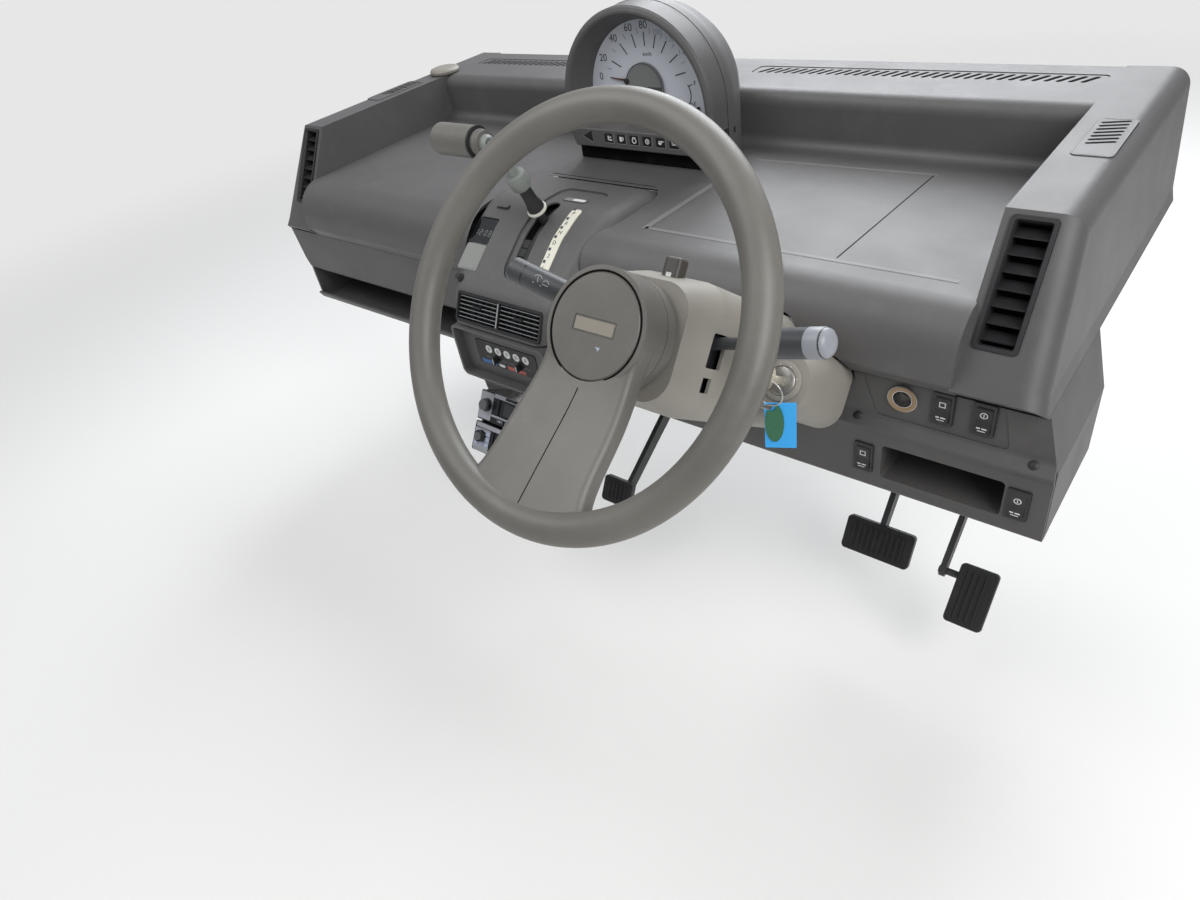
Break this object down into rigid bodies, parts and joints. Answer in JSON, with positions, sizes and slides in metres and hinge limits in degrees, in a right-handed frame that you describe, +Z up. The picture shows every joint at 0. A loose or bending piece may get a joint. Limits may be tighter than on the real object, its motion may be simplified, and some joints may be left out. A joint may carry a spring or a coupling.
{
  "type": "microvan dashboard with steering column",
  "caption": "Right-hand-drive van dashboard on its cross beam, with turning steering wheel, parcel shelf, meter pod, centre console, gear lever and swinging pedals.",
  "frame": {"origin": "middle of the four body bolt holes in the cross beam's end plates", "axes": "+X to the driver's side, along the beam; +Y forward to the windscreen, out through the bolts; +Z up"},
  "size_m": [1.3888, 0.9729, 0.7625],
  "materials": {
    "dash_grey": "soft satin grain",
    "panel_grey": "satin grain",
    "console_grey": "satin grain",
    "black_plastic": "satin",
    "black_gloss": "gloss",
    "light_grey": "satin",
    "cream_plastic": "satin",
    "wheel_beige": "fine grain",
    "shroud_grey": "fine grain",
    "dial_white": "matte",
    "dial_grey": "matte",
    "needle_red": "satin",
    "tag_green": "satin",
    "tag_blue": "satin",
    "chrome": "polished",
    "bare_steel": "machined",
    "zinc_steel": "zinc plated",
    "black_paint": "satin paint",
    "pedal_steel": "satin paint"
  },
  "bodies": {
    "dashboard": {"dash_shell": "dash_grey", "driver_panel": "panel_grey", "passenger_panel": "panel_grey", "defroster_grilles": "dash_grey", "side_demisters": "dash_grey", "side_vents": "black_plastic", "console_face": "console_grey", "gate_bezel": "console_grey", "position_strip": "cream_plastic", "clock": "black_gloss", "ashtray": "light_grey", "centre_vents": "black_plastic", "console_housing": "console_grey", "heater_control": "black_plastic", "radio": "black_gloss", "radio_tuner": "black_gloss", "radio_cage": "zinc_steel", "rocker_switches": "black_plastic", "power_socket": "chrome", "meter_hood": "dash_grey", "meter_ring": "dash_grey", "dial": "dial_white", "dial_boss": "dial_grey", "needle": "needle_red", "telltale_strip": "dash_grey", "stalk_housing": "black_plastic", "column_tube": "black_paint", "shroud_upper": "shroud_grey", "shroud_lower": "shroud_grey", "ignition_lock": "bare_steel", "key": "bare_steel", "key_ring": "bare_steel", "key_tag": "tag_green", "key_label": "tag_blue", "indicator_stalk": "black_plastic", "wiper_stalk": "black_plastic", "hazard_switch": "black_plastic", "cross_beam": "black_paint", "dash_braces": "black_paint", "column_bracket": "black_paint", "lever_bracket": "black_paint", "brake_bracket": "black_paint", "accelerator_bracket": "black_paint", "parking_bracket": "black_paint"},
    "steering": {"wheel_rim": "wheel_beige", "horn_pad": "wheel_beige", "wheel_hub": "wheel_beige", "steering_shaft": "bare_steel"},
    "gear_selector": {"gear_lever": "chrome", "gear_grip": "wheel_beige", "gate_cover": "light_grey"},
    "brake": {"brake_pedal": "pedal_steel"},
    "accelerator": {"accelerator_pedal": "pedal_steel"},
    "parking_brake": {"parking_pedal": "pedal_steel"}
  },
  "joints": [
    {"name": "steering_turn", "type": "hinge", "parent": "dashboard", "child": "steering", "pos_m": [0.3474, -0.4445, 0.2541], "axis": [0, -0.7934, 0.6088], "range_deg": [-540, 540]},
    {"name": "gear_select", "type": "hinge", "parent": "dashboard", "child": "gear_selector", "pos_m": [-0.02, -0.009, -0.058], "axis": [1, 0, 0], "range_deg": [0, 18]},
    {"name": "brake_press", "type": "hinge", "parent": "dashboard", "child": "brake", "pos_m": [0.48, 0.07, -0.07], "axis": [1, 0, 0], "range_deg": [0, 20], "stiffness_Nm_per_rad": 12, "springref_deg": -17.19},
    {"name": "accelerator_press", "type": "hinge", "parent": "dashboard", "child": "accelerator", "pos_m": [0.576, 0.084, -0.09], "axis": [1, 0, 0], "range_deg": [0, 18], "stiffness_Nm_per_rad": 8, "springref_deg": -17.19},
    {"name": "parking_press", "type": "hinge", "parent": "dashboard", "child": "parking_brake", "pos_m": [0.097, 0.074, -0.066], "axis": [1, 0, 0], "range_deg": [0, 25], "stiffness_Nm_per_rad": 10, "springref_deg": -17.19}
  ]
}
